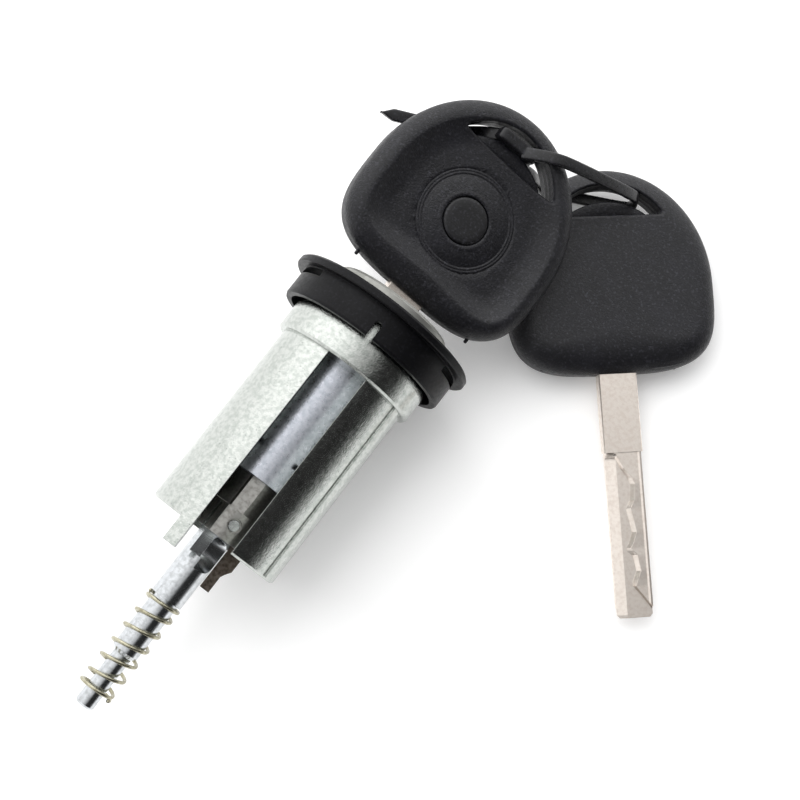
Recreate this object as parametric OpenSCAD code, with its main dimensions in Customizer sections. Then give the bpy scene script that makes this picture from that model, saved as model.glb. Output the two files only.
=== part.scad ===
// Ignition lock cylinder: die-cast housing, plug with wafers, driver and sprung spindle,
// a key in the plug, and a spare key tied to it by a nylon cable tie.
// The lock's axis lies along Y, with the key towards -Y and the spindle towards +Y.
// The window in the housing faces +Z. The origin is on the axis, in the plane of the cap ring's back face.

/* [Cap ring] */
// Diameter of the flange
flange_d = 36.5; // [35:0.5:40]
// Thickness of the flange
flange_t = 1.5; // [1:0.1:2.5]
// Outside diameter of the skirt behind the flange
skirt_d = 33; // [32:0.1:34]
// Wall of the skirt
skirt_wall = 1.3; // [0.8:0.1:1.6]
// Length of the skirt from the flange's back face
skirt_len = 5.6; // [4.5:0.1:8]
// Width of the slit in the skirt
slit_w = 1.3; // [0.8:0.1:2]
// Length of the slit from the skirt's open end
slit_len = 3.2; // [2:0.1:4]
// Height of the moulding windows under the flange
undercut_h = 1.2; // [0.6:0.1:2]

/* [Housing] */
// Diameter of the collar behind the cap ring
collar_d = 27.8; // [26.5:0.1:29]
// Rear end of the collar, from the cap ring's back face
collar_end = 10.9; // [9.5:0.1:13]
// Diameter of the barrel
barrel_d = 25.3; // [24.6:0.1:26]
// Length of the barrel behind the plug
barrel_tail = 12.6; // [12:0.1:14]
// Width of the window along the barrel
window_w = 7.8; // [7:0.1:9]
// Length of the finger beyond the tail
finger_len = 4.6; // [2:0.1:7]
// Width of the finger
finger_w = 2.5; // [1.5:0.1:3.5]
// Width of the rib along the barrel
rib_w = 2; // [1:0.1:3]
// Height of the rib above the barrel
rib_h = 0.4; // [0.2:0.05:0.6]
// Turn of the rib from the window, towards -X
rib_turn = 61; // [45:1:80]

/* [Plug] */
// Diameter of the plug
plug_d = 16; // [15.6:0.1:16.6]
// Reach of the key's tip behind the plug
tip_reach = 3.9; // [3:0.1:4.5]
// Depth of the plug's head in the housing
head_depth = 2.4; // [1.8:0.1:3]
// Outside diameter of the stamped face cap
face_d = 23.6; // [22.5:0.1:24]
// Thickness of the face cap's sheet
face_sheet = 0.5; // [0.3:0.1:0.8]
// Height of the face cap in front of the flange
face_h = 3.8; // [3.2:0.1:4.5]
// Height of the face cap's straight rim in front of the flange
face_rim = 2.7; // [2:0.1:3]
// Turn of the key in the lock position, from the window
key_turn = -14; // [-20:1:20]

/* [Wafers] */
// Thickness of a wafer
wafer_t = 0.9; // [0.6:0.05:1.1]
// Spacing of the wafers
wafer_pitch = 2.7; // [2.5:0.05:2.75]
// Half height of a wafer across the key
wafer_half = 3.3; // [2.6:0.05:3.5]
// Outside diameter of a wafer spring
wafer_spring_d = 1.3; // [1:0.05:1.4]

/* [Driver and spindle] */
// Width of the driver's fork
fork_w = 5; // [4:0.1:5.4]
// Height of the fork's ridge above the axis
fork_h = 6.2; // [5.6:0.1:6.8]
// Width of the driver's body
driver_w = 5.8; // [5.6:0.1:7]
// Diameter of the driver's drum around the key's tip
drum_d = 9.2; // [8.8:0.1:10]
// Radius of the driver's body
driver_r = 6.5; // [6:0.1:7]
// Length of the driver behind the plug
driver_tail = 11.6; // [11:0.1:12]
// Diameter of the cross pin
cross_pin_d = 1.9; // [1.4:0.1:2.2]
// Diameter of the spindle's root
spindle_root_d = 6; // [5.4:0.1:6.4]
// Length of the spindle from the driver to its spring shoulder
spindle_root_len = 13.6; // [11:0.1:15]
// Diameter of the spindle inside the spring
spindle_mid_d = 4.9; // [4.4:0.1:5.1]
// Length of the spindle from the spring shoulder to its nose
spindle_mid_len = 11.6; // [9:0.1:13]
// Diameter of the spindle's nose
spindle_nose_d = 3.5; // [2.8:0.1:4]
// Length of the spindle's nose
spindle_nose_len = 10.4; // [9.5:0.1:13]
// Outside diameter of the spindle spring
coil_d = 6.7; // [6.5:0.1:7.4]
// Wire of the spindle spring
coil_wire = 0.65; // [0.5:0.05:0.7]
// Length of the spindle spring
coil_len = 19.2; // [16:0.1:20]
// Turns of the spindle spring
coil_turns = 7.6; // [6:0.1:9]

/* [Catch lever] */
// Width of the lever
lever_w = 3; // [2.4:0.1:3.4]
// Thickness of the lever
lever_t = 1.8; // [1.2:0.1:2]
// Place of the lever's middle, across the axis
lever_x = -4.6; // [-5:0.1:-4.2]
// Reach of the lever's tip behind the barrel
lever_reach = 7.8; // [6:0.1:9]
// Diameter of the lever's pivot pin
lever_pin_d = 1.4; // [1:0.1:1.6]

/* [Keys] */
// Width of the bow
bow_w = 40.2; // [38:0.1:42]
// Length of the bow
bow_len = 39.4; // [37:0.1:42]
// Distance of the bow's widest place from its blade end
bow_round = 17; // [15:0.1:19]
// Gap between the face cap and the bow of the key in the lock
key_gap = 2; // [1.5:0.1:3]
// Thickness of the bow at the blade
bow_t = 9; // [8:0.1:10]
// Share of its thickness that the bow loses towards the eye
bow_taper = 0.3; // [0.25:0.01:0.4]
// Depth of the dish in the bow's front face
dish_depth = 1.8; // [1:0.1:2.2]
// Width of the rim around the eye
rim_w = 3.2; // [2.6:0.1:3.4]
// Depth of the eye from its straight edge to its curved one
eye_depth = 6.1; // [5.9:0.1:6.5]
// Half width of the eye along its straight edge
eye_half = 10.8; // [10:0.1:12]
// Diameter of the badge insert
badge_d = 8.4; // [6:0.1:10]
// Distance of the badge's middle from the bow's blade end
badge_place = 16.9; // [15:0.1:18]
// Width of the blade
blade_w = 7.4; // [6.8:0.1:7.6]
// Thickness of the blade
blade_t = 2.5; // [2:0.1:2.6]
// Length of the blade in front of the bow
blade_len = 45.6; // [44:0.1:46]
// Width of the blade behind its shoulders
blade_milled_w = 6.7; // [6.2:0.1:7]
// Length of the blade's full-width part in front of the bow
shank_len = 14.8; // [13:0.1:16]
// Depth of the milled track in each side of the blade
track_depth = 0.75; // [0.4:0.05:0.9]
// Diameter of the transponder chip
chip_d = 3; // [2.4:0.1:3.4]

/* [Cable tie] */
// Width of the strap
strap_w = 2.2; // [1.8:0.1:2.3]
// Thickness of the strap
strap_t = 1; // [0.8:0.1:1.1]

/* [Clearances] */
// Running clearance around the plug, on the radius
run_gap = 0.05; // [0.03:0.01:0.1]
// Clearance between parts that turn past each other
turn_gap = 0.3; // [0.2:0.05:0.4]
// Clearance between parts that are assembled with each other
fit_gap = 0.05; // [0.02:0.01:0.08]

/* [Hidden] */
$fn = 72;

// Cut that runs past a face
past = 1;

// Radii of the turned parts
flange_r = flange_d / 2;
skirt_r = skirt_d / 2;
collar_r = collar_d / 2;
spigot_r = collar_r - 0.5;
barrel_r = barrel_d / 2;
plug_r = plug_d / 2;
face_r = face_d / 2;
head_bore_r = face_r + turn_gap;
edge_break = 0.4;

// Ribs and moulding windows of the cap ring's skirt
grip_w = 2.4;
undercut_w = 10.8;
undercut_turn = 71;
undercut_y = 0.2;

// Face cap: a straight rim, a broken edge, then a shallow dome
face_edge = 0.5;
dome_start = -flange_t - face_rim;
dome_h = face_h - face_rim;
face_back = head_depth - 0.8;

// Wafer stack, from the head towards the tail
wafer_count = 8;
wafer_first = 6.6;
wafer_spring_z = wafer_half + 0.25 + wafer_spring_d / 2;
wafer_spring_wire = 0.22;
lug_x = 2;
lug_w = 1.4;
spring_seat_x = -3.3;
retainer_y = wafer_first + wafer_count * wafer_pitch + 0.9;
retainer_reach = 0.9;

// Places along the axis, from the key's tip towards the tail
bow_front = -flange_t - face_h - key_gap;
blade_tip = bow_front + blade_len;
plug_end = blade_tip - tip_reach;
barrel_end = plug_end + barrel_tail;
driver_end = plug_end + driver_tail;
spindle_shoulder = driver_end + spindle_root_len;
spindle_step = spindle_shoulder + spindle_mid_len;
spindle_tip = spindle_step + spindle_nose_len;
lever_tip = barrel_end + lever_reach;

// Keyway and the driver's fork behind it
keyway_w = blade_w + 6 * fit_gap;
keyway_t = blade_t + 6 * fit_gap;
fork_front = plug_end - 3.1;
fork_end = plug_end + 6.2;
tip_slot_end = blade_tip + turn_gap;
cross_pin_y = (tip_slot_end + turn_gap + driver_end) / 2 + 0.6;
spindle_root = cross_pin_y - 2;
scallop_r = 3.4;

// Catch lever in its channel under the bore
lever_z = -(plug_r + run_gap) - lever_t / 2 + 0.35;
lever_pivot = barrel_end - 7;
lever_nose_w = lever_w - 1.1;
lever_nose = lever_tip - 3.4;
lever_swing_room = 0.7;

// Keys
bow_mid = bow_front - bow_round;
bow_square = 3.7;
eye_line = bow_front - bow_len + rim_w + eye_depth;
badge_y = bow_front - badge_place;
badge_t = 1.2;
dish_z = bow_t / 2 - dish_depth;
blade_root = badge_place - badge_d / 2 - 0.7;
shoulder_y = bow_front + shank_len;
nub_places = [-14.2, 11.4];
nub_d = 0.7;
nub_len = 0.8;
chip_x = 9.5;
chip_len = 12;
chip_cap_w = 6;
chip_cap_depth = 3.6;

// Spare key, face down beside the lock, level with the flange's lowest point
floor_z = -flange_r;
spare_x = -40.72;
spare_y = -23.36;
spare_turn = 41;
spare_z = floor_z + bow_t / 2 + 0.1;

// Eye of the bow: a crescent between its curved edge and the ledge on its straight one
function arc_radius(half, rise) = (half * half + rise * rise) / (2 * rise);
function arc_place(mid, r, x) = mid - sqrt(r * r - x * x);
eye_r = arc_radius(eye_half, eye_depth);
eye_mid = eye_line - eye_depth + eye_r;
eye_corner = 0.8;
tongue_half = eye_half - 2.2;
tongue_rise = eye_depth * 0.38;
tongue_r = arc_radius(tongue_half, tongue_rise);
tongue_mid = eye_line - tongue_rise + tongue_r;
rim_half = bow_t / 2 * bow_thin(eye_line);
badge_seat = dish_z * bow_thin(badge_y) - badge_t * 0.7;
function eye_middle(x) = (arc_place(eye_mid, eye_r, x) + arc_place(tongue_mid, tongue_r, x)) / 2;

// Cable tie: where it passes through the two eyes, and where its tail does
tie_hole = [-2.65, eye_middle(-2.65)];
tail_hole = [4.3, eye_middle(4.3)];
spare_hole = spare_point(6.2, eye_middle(6.2));
tail_turn = 28.8;
tail_len = 21.3;
tie_head_len = 8.6;
tie_head_w = 2.4;
tie_head_h = 4.4;
tie_head_top = 3.2;
tie_slack = 0.65;

// Solid of revolution about the lock's axis, from points of radius and place along Y
module turned(points) {
    rotate([-90, 0, 0]) rotate_extrude($fn = 96) polygon(points);
}

// Cylinder on the lock's axis between two places along Y
module rod(r, from, to) {
    translate([0, from, 0]) rotate([-90, 0, 0]) cylinder(r = r, h = to - from);
}

// Section drawn in X and Z, carried along Y between two places
module span(from, to) {
    translate([0, to, 0]) rotate([90, 0, 0]) linear_extrude(to - from) children();
}

// Box between two corners
module block(low, high) {
    translate(low) cube(high - low);
}

// Triangles that join rings of a tube or loft, each with the same number of points
function ring_faces(rings, sides) = [
    for (i = [0 : rings - 2], j = [0 : sides - 1])
        let (a = i * sides + j, b = i * sides + (j + 1) % sides)
        each [[a, b, b + sides], [a, b + sides, a + sides]]
];

// Place along a spring after a turn t: closed end turns and an even pitch between them
function coil_place(t, turns, len, wire) =
    t < 1 ? t * wire
    : t > turns - 1 ? len - wire - (turns - t) * wire
    : wire + (t - 1) * (len - 3 * wire) / (turns - 2);

// Right-hand compression spring standing on Z
module coil(outer_d, wire, turns, len, steps, sides) {
    mean_r = (outer_d - wire) / 2;
    rings = ceil(turns * steps) + 1;
    points = [
        for (i = [0 : rings - 1], j = [0 : sides - 1])
            let (t = turns * i / (rings - 1), a = 360 * t, b = 360 * j / sides,
                r = mean_r + wire / 2 * cos(b))
            [r * cos(a), r * sin(a), wire / 2 + coil_place(t, turns, len, wire) + wire / 2 * sin(b)]
    ];
    start_cap = [[for (j = [0 : sides - 1]) sides - 1 - j]];
    end_cap = [[for (j = [0 : sides - 1]) (rings - 1) * sides + j]];
    polyhedron(points, concat(start_cap, ring_faces(rings, sides), end_cap), convexity = 12);
}

// Everything that turns with the key
module with_key() {
    rotate([0, key_turn, 0]) children();
}

// Solid that fills the face cap; inset leaves room for the sheet
function dome_arc(r, h, start, steps = 14) =
    let (ball = (r * r + h * h) / (2 * h), open = asin(r / ball))
    [for (i = [0 : steps]) let (a = open * (1 - i / steps)) [ball * sin(a), start - h + ball * (1 - cos(a))]];

module face_form(inset) {
    turned(concat([[0, face_back + past * 0.5], [face_r - inset, face_back + past * 0.5],
        [face_r - inset, dome_start + face_edge + inset]],
        dome_arc(face_r - inset - face_edge, dome_h, dome_start + inset)));
}

// Housing

module wafer_grooves() {
    groove_r = plug_r + run_gap + 1.2;
    with_key() span(wafer_first - wafer_pitch / 2, retainer_y - wafer_pitch / 2)
        square([2 * groove_r, 2 * wafer_half + 2 * turn_gap], center = true);
}

module lever_channel() {
    half = lever_w / 2 + turn_gap;
    floor = lever_z - lever_t / 2 - lever_swing_room;
    block([lever_x - half, lever_pivot - lever_t, floor], [lever_x + half, barrel_end + past, -plug_r / 2]);
    translate([0, lever_pivot, lever_z]) rotate([0, -90, 0])
        translate([0, 0, -lever_x - half - lever_w / 3]) cylinder(d = lever_pin_d + 2 * fit_gap, h = barrel_r);
}

module finger() {
    intersection() {
        rod(barrel_r, barrel_end - past, barrel_end + finger_len);
        block([window_w / 2, barrel_end - past, 0], [window_w / 2 + finger_w, barrel_end + finger_len, barrel_r]);
    }
}

module housing() {
    color("gainsboro") difference() {
        union() {
            turned([[0, 0], [spigot_r, 0], [spigot_r, skirt_len], [collar_r, skirt_len],
                [collar_r, collar_end - edge_break], [collar_r - edge_break, collar_end],
                [barrel_r, collar_end], [barrel_r, barrel_end - edge_break], [barrel_r - edge_break, barrel_end],
                [0, barrel_end]]);
            rotate([0, -rib_turn, 0]) intersection() {
                block([-rib_w / 2, collar_end - past, 0], [rib_w / 2, barrel_end - edge_break, barrel_r * 2]);
                rod(barrel_r + rib_h, collar_end - past, barrel_end - edge_break);
            }
            finger();
        }
        rod(head_bore_r, -past, head_depth);
        rod(plug_r + run_gap, -past, barrel_end + finger_len + past);
        block([-window_w / 2, collar_end, 0], [window_w / 2, barrel_end + finger_len + past, barrel_d]);
        wafer_grooves();
        rod(plug_r + run_gap + retainer_reach + turn_gap, retainer_y - wafer_t / 2 - fit_gap,
            retainer_y + wafer_t / 2 + fit_gap);
        lever_channel();
    }
}

module cap_ring() {
    skirt_in = skirt_r - skirt_wall;
    color("#1c1c1e") difference() {
        union() {
            turned([[head_bore_r, -flange_t], [flange_r - edge_break, -flange_t],
                [flange_r, -flange_t + edge_break], [flange_r, -edge_break / 2], [flange_r - edge_break / 2, 0], [head_bore_r, 0]]);
            turned([[skirt_in, -past / 2], [skirt_r, -past / 2], [skirt_r, skirt_len - edge_break],
                [skirt_r - edge_break / 2, skirt_len], [skirt_in, skirt_len]]);
            difference() {
                for (a = [45 : 90 : 315]) rotate([0, a, 0])
                    block([-grip_w / 2, -past / 2, 0],
                        [grip_w / 2, skirt_len - 2 * edge_break, skirt_r - skirt_wall / 2]);
                rod(spigot_r + fit_gap, -past, skirt_len);
            }
        }
        block([-slit_w / 2, skirt_len - slit_len + slit_w / 2, 0], [slit_w / 2, skirt_len + past, flange_r]);
        translate([0, skirt_len - slit_len + slit_w / 2, 0]) cylinder(d = slit_w, h = flange_r);
        for (side = [-1, 1]) rotate([0, side * undercut_turn, 0])
            block([-undercut_w / 2, undercut_y, skirt_r - 2 * skirt_wall],
                [undercut_w / 2, undercut_y + undercut_h, flange_r]);
    }
}

module catch_lever() {
    half = lever_w / 2;
    color("#6b5b4c") difference() {
        translate([lever_x, 0, lever_z - lever_t / 2]) linear_extrude(lever_t) {
            translate([0, lever_pivot]) circle(d = lever_w);
            polygon([[-half, lever_pivot], [half, lever_pivot], [half, lever_nose - 3.2], [half, lever_nose - 1.2],
                [half, lever_tip], [half - lever_nose_w, lever_tip], [half - lever_nose_w, lever_nose],
                [half - lever_nose_w - 0.4, lever_nose - 0.8], [-half, lever_nose - 1.8]]);
        }
        translate([lever_x - lever_w, lever_pivot, lever_z]) rotate([0, 90, 0])
            cylinder(d = lever_pin_d + 2 * fit_gap, h = 2 * lever_w);
    }
}

module lever_pin() {
    reach = lever_w / 2 + turn_gap + lever_w / 3 - fit_gap;
    color("silver") translate([lever_x + reach, lever_pivot, lever_z]) rotate([0, -90, 0])
        cylinder(d = lever_pin_d, h = reach + lever_w / 2 + 2);
}

// Plug and what turns with it

module wafer_section(grow, r) {
    half = wafer_half + grow;
    intersection() {
        circle(r = r);
        square([2 * plug_d, 2 * half], center = true);
    }
    translate([lug_x - grow, 0]) square([lug_w + 2 * grow, wafer_spring_z + wafer_spring_d / 2 + grow]);
}

function wafer_y(i) = wafer_first + (i - 1) * wafer_pitch;

// Odd wafers carry their spring above the key, even ones below it
module wafer_place(i) {
    with_key() translate([0, wafer_y(i), 0]) rotate([0, i % 2 == 1 ? 0 : 180, 0]) children();
}

module wafer_slots() {
    half = wafer_t / 2 + fit_gap;
    span(-half, half) {
        wafer_section(fit_gap, plug_d);
        translate([lug_x - fit_gap, 0]) square([plug_d, wafer_spring_z + wafer_spring_d / 2 + fit_gap]);
    }
    translate([spring_seat_x, 0, wafer_spring_z]) rotate([0, 90, 0])
        cylinder(d = wafer_spring_d + 2 * fit_gap, h = lug_x - spring_seat_x, $fn = 32);
}

module wafer(i) {
    color("#b89a4e") wafer_place(i) span(-wafer_t / 2, wafer_t / 2) difference() {
        wafer_section(0, plug_r - 2 * run_gap);
        square([keyway_w, keyway_t], center = true);
    }
}

module wafer_spring(i) {
    color("#c8c8c4") wafer_place(i) translate([spring_seat_x + fit_gap, 0, wafer_spring_z]) rotate([0, 90, 0])
        coil(wafer_spring_d, wafer_spring_wire, 6, lug_x - spring_seat_x - 2 * fit_gap, 8, 4);
}

// The retaining wafer stands in a groove of the housing, pressed out by its own spring
module retainer_section(grow) {
    translate([1.8 + keyway_w / 2 - grow, -2 - grow])
        square([plug_r + retainer_reach - 1.8 - keyway_w / 2 + 2 * grow, 4 + 2 * grow]);
}

module retaining_wafer() {
    half = wafer_t / 2;
    color("#9a9a96") with_key() span(retainer_y - half, retainer_y + half) intersection() {
        retainer_section(0);
        circle(r = plug_r + retainer_reach);
    }
}

module retaining_spring() {
    seat = keyway_w / 2 + 0.5;
    color("#c8c8c4") with_key() translate([seat + fit_gap, retainer_y, 0]) rotate([0, 90, 0])
        coil(wafer_spring_d, wafer_spring_wire, 3.4, 1.3 - 2 * fit_gap, 8, 4);
}

module retainer_pocket() {
    half = wafer_t / 2 + fit_gap;
    span(retainer_y - half, retainer_y + half) {
        retainer_section(fit_gap);
        translate([keyway_w / 2 + 1.8, -2 - fit_gap]) square([plug_d, 4 + 2 * fit_gap]);
    }
    translate([keyway_w / 2 + 0.5, retainer_y, 0]) rotate([0, 90, 0])
        cylinder(d = wafer_spring_d + 2 * fit_gap, h = 1.5, $fn = 32);
}

module plug() {
    color("#c9ccd0") with_key() difference() {
        union() {
            rod(plug_r, 0, plug_end);
            rod(face_r - face_sheet - fit_gap, 0, head_depth - fit_gap);
            intersection() {
                face_form(face_sheet + fit_gap);
                rod(face_r, -flange_d, 1);
            }
        }
        span(-flange_d, plug_end + past) square([keyway_w, keyway_t], center = true);
        for (i = [1 : wafer_count]) translate([0, wafer_y(i), 0])
            rotate([0, i % 2 == 1 ? 0 : 180, 0]) wafer_slots();
        retainer_pocket();
        block([-fork_w / 2 - fit_gap, fork_front - fit_gap, -fork_h - fit_gap],
            [fork_w / 2 + fit_gap, plug_end + past, fork_h + fit_gap]);
    }
}

module face_cap() {
    color("#a9aaa6") with_key() difference() {
        face_form(0);
        face_form(face_sheet);
        rod(face_r + past, face_back, face_back + 2 * past);
        span(-flange_d, 0) square([keyway_w + 0.6, keyway_t + 0.6], center = true);
    }
}

module driver() {
    roof = fork_h - 0.7;
    color("#8f8a82") with_key() difference() {
        union() {
            span(fork_front, fork_end + past) polygon([[-fork_w / 2, -roof], [0, -fork_h], [fork_w / 2, -roof],
                [fork_w / 2, roof], [0, fork_h], [-fork_w / 2, roof]]);
            rod(drum_d / 2, plug_end + fit_gap, fork_end);
            span(fork_end, driver_end) intersection() {
                circle(r = driver_r);
                square([driver_w, driver_r * 3], center = true);
            }
        }
        block([-driver_w, fork_front - past, -keyway_t / 2], [driver_w, tip_slot_end, keyway_t / 2]);
        rod(spindle_root_d / 2 + fit_gap, spindle_root - fit_gap, driver_end + past);
        translate([0, cross_pin_y, -driver_r * 2]) cylinder(d = cross_pin_d + 2 * fit_gap, h = driver_r * 4);
        translate([0, cross_pin_y, driver_r - 0.5]) cylinder(d = cross_pin_d + 0.7, h = driver_r);
    }
}

module cross_pin() {
    color("#d9dadb") with_key() translate([0, cross_pin_y, -driver_r + 0.4])
        cylinder(d = cross_pin_d, h = 2 * driver_r - 0.6);
}

module spindle() {
    root_r = spindle_root_d / 2;
    mid_r = spindle_mid_d / 2;
    nose_r = spindle_nose_d / 2;
    color("#cfd2d5") with_key() difference() {
        turned([[0, spindle_root], [root_r, spindle_root], [root_r, spindle_shoulder], [mid_r, spindle_shoulder],
            [mid_r, spindle_step - (mid_r - nose_r)], [nose_r, spindle_step], [nose_r, spindle_tip - edge_break],
            [nose_r - edge_break, spindle_tip], [0, spindle_tip]]);
        translate([0, cross_pin_y, -root_r * 2]) cylinder(d = cross_pin_d + 2 * fit_gap, h = root_r * 4);
        block([root_r * 0.1, driver_end, root_r * 0.55], [root_r * 2, driver_end + 4.6, root_r * 2]);
        translate([-root_r * 2, driver_end + scallop_r, scallop_r + root_r * 0.2]) rotate([0, 90, 0])
            cylinder(r = scallop_r, h = root_r * 2.1);
    }
}

module spindle_spring() {
    color("#c9c3a6") with_key() translate([0, spindle_shoulder + fit_gap, 0]) rotate([-90, 0, 0])
        coil(coil_d, coil_wire, coil_turns, coil_len, 18, 8);
}

// Keys

// The bow's outline as a distance from its middle: round at the eye, square-shouldered at the blade
function bow_reach(a) =
    let (n = sin(a) < 0 ? 2 : bow_square, l = sin(a) < 0 ? bow_len - bow_round : bow_round)
    pow(pow(abs(cos(a)) / (bow_w / 2), n) + pow(abs(sin(a)) / l, n), -1 / n);

// Steps of the bow's section from the back face to the front: inset from the outline, and height
bow_steps = [[9, -bow_t / 2], [4.6, -bow_t / 2], [2.2, -bow_t * 0.42], [0.7, -bow_t * 0.28], [0, -bow_t * 0.08],
    [0, bow_t * 0.14], [0.6, bow_t * 0.34], [1.8, bow_t * 0.46], [3.2, bow_t / 2], [4.1, bow_t * 0.48],
    [5.3, dish_z + dish_depth * 0.45], [6.7, dish_z + dish_depth * 0.12], [8.4, dish_z]];

// Half thickness falls evenly from the blade end to the eye end
function bow_thin(y) = 1 - bow_taper * (bow_front - y) / bow_len;

module bow_form() {
    sides = 80;
    rings = len(bow_steps);
    points = [
        for (s = bow_steps, j = [0 : sides - 1])
            let (a = 360 * j / sides, r = bow_reach(a) - s[0], y = bow_mid + r * sin(a))
            [r * cos(a), y, s[1] * bow_thin(y)]
    ];
    back = [[for (j = [0 : sides - 1]) j]];
    front = [[for (j = [0 : sides - 1]) rings * sides - 1 - j]];
    flipped = [for (f = ring_faces(rings, sides)) [f[2], f[1], f[0]]];
    polyhedron(points, concat(back, flipped, front), convexity = 8);
}

module eye_section() {
    offset(r = eye_corner) offset(delta = -eye_corner) intersection() {
        translate([0, eye_mid]) circle(r = eye_r);
        translate([-bow_w, eye_line - bow_len]) square([2 * bow_w, bow_len]);
    }
}

// Ledge between the eye's straight edge and its curved one
module tongue_section() {
    intersection() {
        translate([0, tongue_mid]) circle(r = tongue_r);
        translate([-tongue_half, eye_line - tongue_half]) square([2 * tongue_half, tongue_half + past]);
    }
}

module chip_cap_form(gap) {
    block([chip_x - chip_cap_w / 2 - gap, bow_front - chip_cap_depth - gap, -bow_t * 0.26 - gap],
        [chip_x + chip_cap_w / 2 + gap, bow_front + past, bow_t * 0.26 + gap]);
}

// Stubs that the mould leaves on the bow's blade end
module mould_nubs() {
    for (x = nub_places) {
        y = bow_mid + bow_round * pow(1 - pow(abs(x) / (bow_w / 2), bow_square), 1 / bow_square);
        translate([x, y - 1, 0]) rotate([-90, 0, 0]) cylinder(d = nub_d, h = 1 + nub_len, $fn = 12);
    }
}

module bow_solid() {
    difference() {
        union() {
            bow_form();
            mould_nubs();
        }
        translate([0, 0, -bow_t]) linear_extrude(2 * bow_t) eye_section();
        translate([0, badge_y, badge_seat]) cylinder(d = badge_d + 6 * fit_gap, h = bow_t);
        blade_blank(fit_gap);
        chip_cap_form(fit_gap);
        translate([chip_x, bow_front - chip_cap_depth - chip_len - 4 * fit_gap, 0]) rotate([-90, 0, 0])
            cylinder(d = chip_d + 2 * fit_gap, h = chip_len + 1, $fn = 24);
    }
    translate([0, 0, -bow_t * 0.2]) linear_extrude(bow_t * 0.4) tongue_section();
}

module badge_solid() {
    translate([0, badge_y, badge_seat + fit_gap]) cylinder(d = badge_d, h = badge_t);
}

module blade_blank(grow) {
    block([-blade_w / 2 - grow, bow_front - blade_root - grow, -blade_t / 2 - grow],
        [blade_w / 2 + grow, shoulder_y + grow, blade_t / 2 + grow]);
}

// Wavy wall of the milled track, as offsets from the blade's edge along its length
track_wall = [[0, 0.6], [1.3, 1.3], [4.9, 4.3], [8, 3.4], [10, 3.1], [13, 3.6], [16.4, 2.9], [17.8, 3.7],
    [20.8, 4.1], [23.4, 3.2]];

module track_section() {
    edge = -blade_milled_w / 2;
    tip = blade_tip - shoulder_y;
    polygon(concat([[edge - past, shoulder_y]], [for (p = track_wall) [edge + p[1], shoulder_y + p[0]]],
        [[-edge + past / 3, shoulder_y + tip - 2.4], [-edge + past / 3, shoulder_y + tip + past],
        [edge - past, shoulder_y + tip + past]]));
}

module blade_solid() {
    half = blade_milled_w / 2;
    difference() {
        union() {
            blade_blank(0);
            translate([0, 0, -blade_t / 2]) linear_extrude(blade_t)
                polygon([[-half, shoulder_y - past], [half, shoulder_y - past], [half, blade_tip - 0.6],
                    [half - 0.6, blade_tip], [0.6 - half, blade_tip], [-half, blade_tip - 0.6]]);
        }
        for (side = [0, 180]) rotate([0, side, 0]) {
            translate([0, 0, blade_t / 2 - track_depth]) linear_extrude(blade_t) track_section();
            block([-half - past, shoulder_y + 4.2, blade_t / 2 - track_depth - 0.2],
                [-half + 1.8, blade_tip + past, blade_t]);
        }
    }
}

module chip_solid() {
    translate([chip_x, bow_front - chip_cap_depth - chip_len - 2 * fit_gap, 0]) rotate([-90, 0, 0])
        cylinder(d = chip_d, h = chip_len);
}

module chip_cap_solid() {
    intersection() {
        bow_form();
        chip_cap_form(0);
    }
}

// The spare key lies face down, turned away from the lock
module spare_place() {
    translate([spare_x, spare_y, spare_z]) rotate([0, 0, spare_turn]) rotate([0, 180, 0])
        translate([0, -bow_front, 0]) children();
}

// Place of a point of the spare key, seen from above
function spare_point(x, y) =
    [spare_x - x * cos(spare_turn) - (y - bow_front) * sin(spare_turn),
    spare_y - x * sin(spare_turn) + (y - bow_front) * cos(spare_turn)];

module key_bow() { color("#202024") with_key() bow_solid(); }
module key_badge() { color("#18181a") with_key() badge_solid(); }
module key_blade() { color("#c4beb4") with_key() blade_solid(); }
module key_chip() { color("#3a3a3c") with_key() chip_solid(); }
module key_chip_cap() { color("#202024") with_key() chip_cap_solid(); }
module spare_bow() { color("#202024") spare_place() bow_solid(); }
module spare_badge() { color("#18181a") spare_place() badge_solid(); }
module spare_blade() { color("#c4beb4") spare_place() blade_solid(); }
module spare_chip() { color("#3a3a3c") spare_place() chip_solid(); }
module spare_chip_cap() { color("#202024") spare_place() chip_cap_solid(); }

// Cable tie

// A path with its corners rounded to arcs of radius r
function bend(p, q, s, r, steps = 6) =
    let (u = (p - q) / norm(p - q), v = (s - q) / norm(s - q), half = acos(u * v) / 2, cut = r / tan(half),
        mid = q + (u + v) / norm(u + v) * r / sin(half), from = q + u * cut - mid, to = q + v * cut - mid,
        whole = acos(max(-1, min(1, from * to / (r * r)))), way = sign(from[0] * to[1] - from[1] * to[0]))
    [for (i = [0 : steps]) let (a = way * whole * i / steps)
        mid + [from[0] * cos(a) - from[1] * sin(a), from[0] * sin(a) + from[1] * cos(a)]];

function rounded_path(c, r) = concat([c[0]],
    [for (i = [1 : len(c) - 2]) each bend(c[i - 1], c[i], c[i + 1], r)], [c[len(c) - 1]]);

// Outline of a strap of even thickness along a path
function strap_side(c, d) = [
    for (i = [0 : len(c) - 1])
        let (a = c[max(i - 1, 0)], b = c[min(i + 1, len(c) - 1)], t = (b - a) / norm(b - a))
        c[i] + d * [-t[1], t[0]]
];
function reversed(c) = [for (i = [len(c) - 1 : -1 : 0]) c[i]];
module strap_section(path) {
    polygon(concat(strap_side(path, strap_t / 2), reversed(strap_side(path, -strap_t / 2))));
}

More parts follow.
